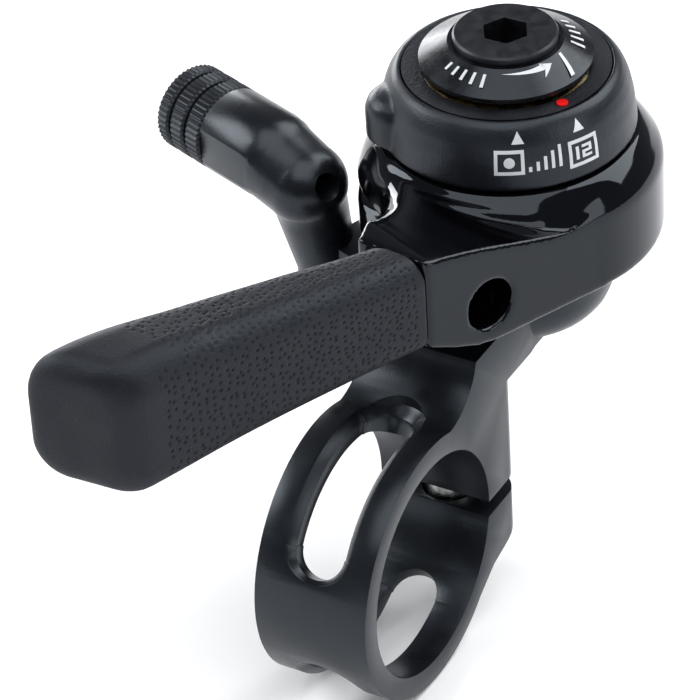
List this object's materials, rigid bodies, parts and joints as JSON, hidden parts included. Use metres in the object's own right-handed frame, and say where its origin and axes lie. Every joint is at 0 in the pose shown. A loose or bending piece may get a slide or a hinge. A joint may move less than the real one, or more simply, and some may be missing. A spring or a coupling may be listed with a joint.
{
  "type": "bicycle thumb shifter",
  "caption": "Bar-mounted thumb shifter: long rubber-gripped lever on a slotted band clamp, with an index and friction mode ring, tension cap and barrel adjuster.",
  "frame": {"origin": "centre of the handlebar bore, halfway across the band", "axes": "+X along the handlebar, +Z parallel to the lever pivot from the bore to the tension cap, +Y from the bore towards the pivot"},
  "size_m": [0.0504, 0.071, 0.0544],
  "materials": {
    "clamp_body": "black anodised, fine blasted satin",
    "clamp_bolt": "stainless, machined",
    "clamp_bolt_washer": "stainless, machined",
    "base_washer": "natural nylon",
    "stop_pin": "hardened steel, ground",
    "thrust_sleeve": "zinc plated steel",
    "detent_spring": "spring steel",
    "dial_plate": "black, fine moulded grain",
    "index_dot": "red, semi-gloss",
    "keyed_washer": "stamped steel",
    "tension_spring": "brass-plated spring washer",
    "barrel_o_ring": "nitrile rubber",
    "lever": "gloss black anodised, polished top",
    "lever_grip": "dimpled matte rubber",
    "lever_bushing": "sintered bronze",
    "index_plate": "hardened steel",
    "friction_washer": "bronze",
    "ball_carrier": "glass-filled nylon",
    "detent_balls": "bearing steel, polished",
    "mode_ring": "black, fine moulded grain",
    "tension_cap": "black anodised, semi-gloss",
    "pivot_bolt": "black, satin",
    "barrel_seat": "natural nylon",
    "barrel_adjuster": "black, fine straight knurl"
  },
  "bodies": {
    "frame": {"clamp_body": "clamp_body", "clamp_bolt": "clamp_bolt", "clamp_bolt_washer": "clamp_bolt_washer", "base_washer": "base_washer", "stop_pin": "stop_pin", "thrust_sleeve": "thrust_sleeve", "detent_spring": "detent_spring", "dial_plate": "dial_plate", "index_dot": "index_dot", "keyed_washer": "keyed_washer", "tension_spring": "tension_spring", "barrel_o_ring": "barrel_o_ring"},
    "lever": {"lever": "lever", "lever_grip": "lever_grip", "lever_bushing": "lever_bushing", "index_plate": "index_plate", "friction_washer": "friction_washer"},
    "carrier": {"ball_carrier": "ball_carrier", "detent_balls": "detent_balls"},
    "mode_ring": {"mode_ring": "mode_ring"},
    "tension_knob": {"tension_cap": "tension_cap", "pivot_bolt": "pivot_bolt"},
    "barrel_slide": {"barrel_seat": "barrel_seat"},
    "barrel": {"barrel_adjuster": "barrel_adjuster"}
  },
  "joints": [
    {"name": "lever_pivot", "type": "hinge", "parent": "frame", "child": "lever", "pos_m": [0, 0.0284, 0.0246], "axis": [0, 0, 1], "range_deg": [0, 155]},
    {"name": "mode_turn", "type": "hinge", "parent": "frame", "child": "mode_ring", "pos_m": [0, 0.0284, 0.034], "axis": [0, 0, 1], "range_deg": [0, 30]},
    {"name": "carrier_lift", "type": "slide", "parent": "frame", "child": "carrier", "axis": [0, 0, 1], "range_m": [0, 0.0006], "deforming": ["detent_spring"]},
    {"name": "tension_turn", "type": "hinge", "parent": "frame", "child": "tension_knob", "pos_m": [0, 0.0284, 0.039], "axis": [0, 0, 1], "range_deg": [-45, 90]},
    {"name": "barrel_travel", "type": "slide", "parent": "frame", "child": "barrel_slide", "axis": [-0.9397, 0.342, 0], "range_m": [0, 0.00301]},
    {"name": "barrel_turn", "type": "hinge", "parent": "barrel_slide", "child": "barrel", "pos_m": [-0.02827, 0.02411, 0.0249], "axis": [-0.9397, 0.342, 0], "range_deg": [0, 1080]}
  ],
  "couplings": [
    {"joint": "carrier_lift", "follows": "mode_turn", "m_per_rad": 0.0011459},
    {"joint": "barrel_travel", "follows": "barrel_turn", "m_per_rad": 0.00015915}
  ]
}
